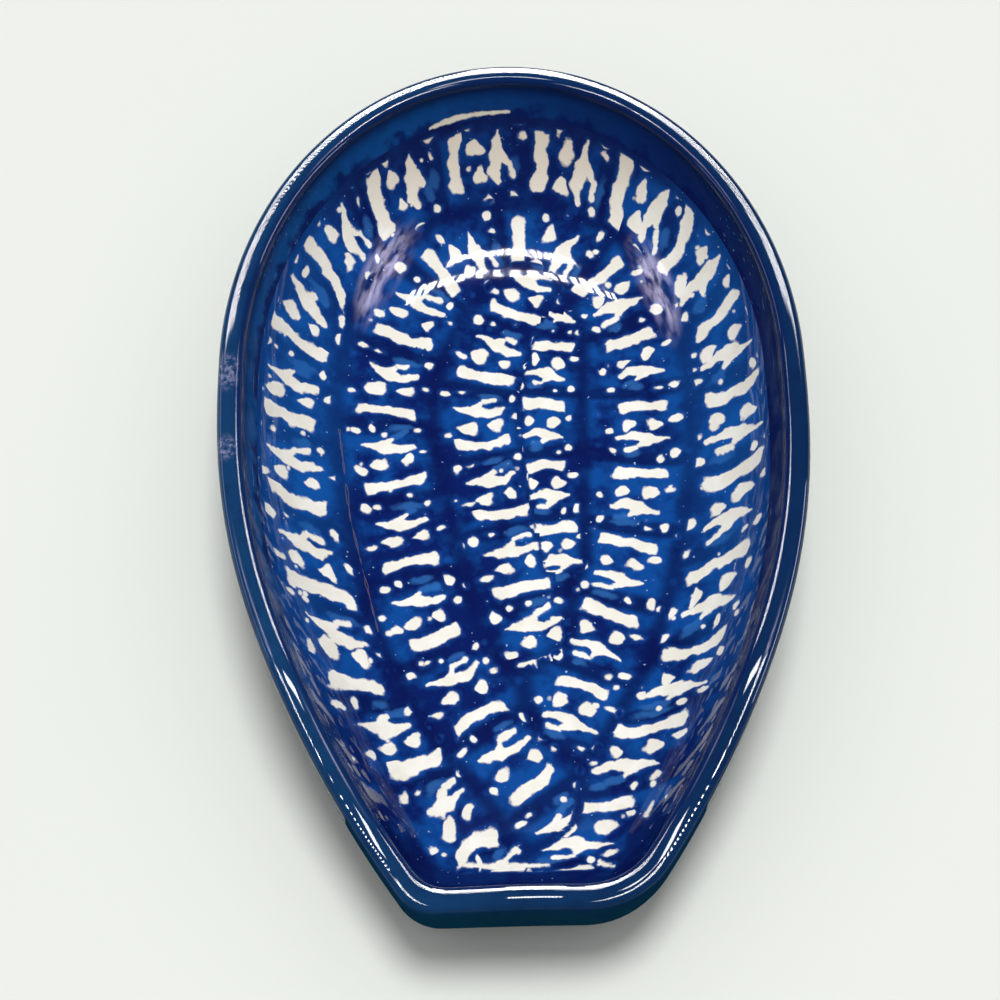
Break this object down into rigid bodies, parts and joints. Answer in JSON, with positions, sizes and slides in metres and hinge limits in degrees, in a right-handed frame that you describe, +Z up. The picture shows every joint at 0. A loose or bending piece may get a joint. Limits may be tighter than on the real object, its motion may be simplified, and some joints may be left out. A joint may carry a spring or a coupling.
{
  "type": "spoon rest",
  "caption": "Egg-shaped glazed stoneware spoon rest: a stamped blue and white well, a plain cobalt rim, a low squared lip for the spoon's handle and a bare foot ring.",
  "frame": {"origin": "on the table, under the middle of the dish's length and width", "axes": "+Z up; +Y along the dish, from the lip to the round end; +X to the right when seen from the lip"},
  "size_m": [0.089, 0.144, 0.022],
  "materials": {
    "fired_clay": "matt, fine-grained, unglazed",
    "stamped_glaze": "gloss, white bars, darts and dots stamped in a cobalt ground",
    "cobalt_glaze": "gloss, plain cobalt blue"
  },
  "bodies": {
    "root": {"stoneware_body": "fired_clay", "bowl_glaze": "stamped_glaze", "outside_glaze": "cobalt_glaze", "base_glaze": "cobalt_glaze"}
  },
  "joints": []
}
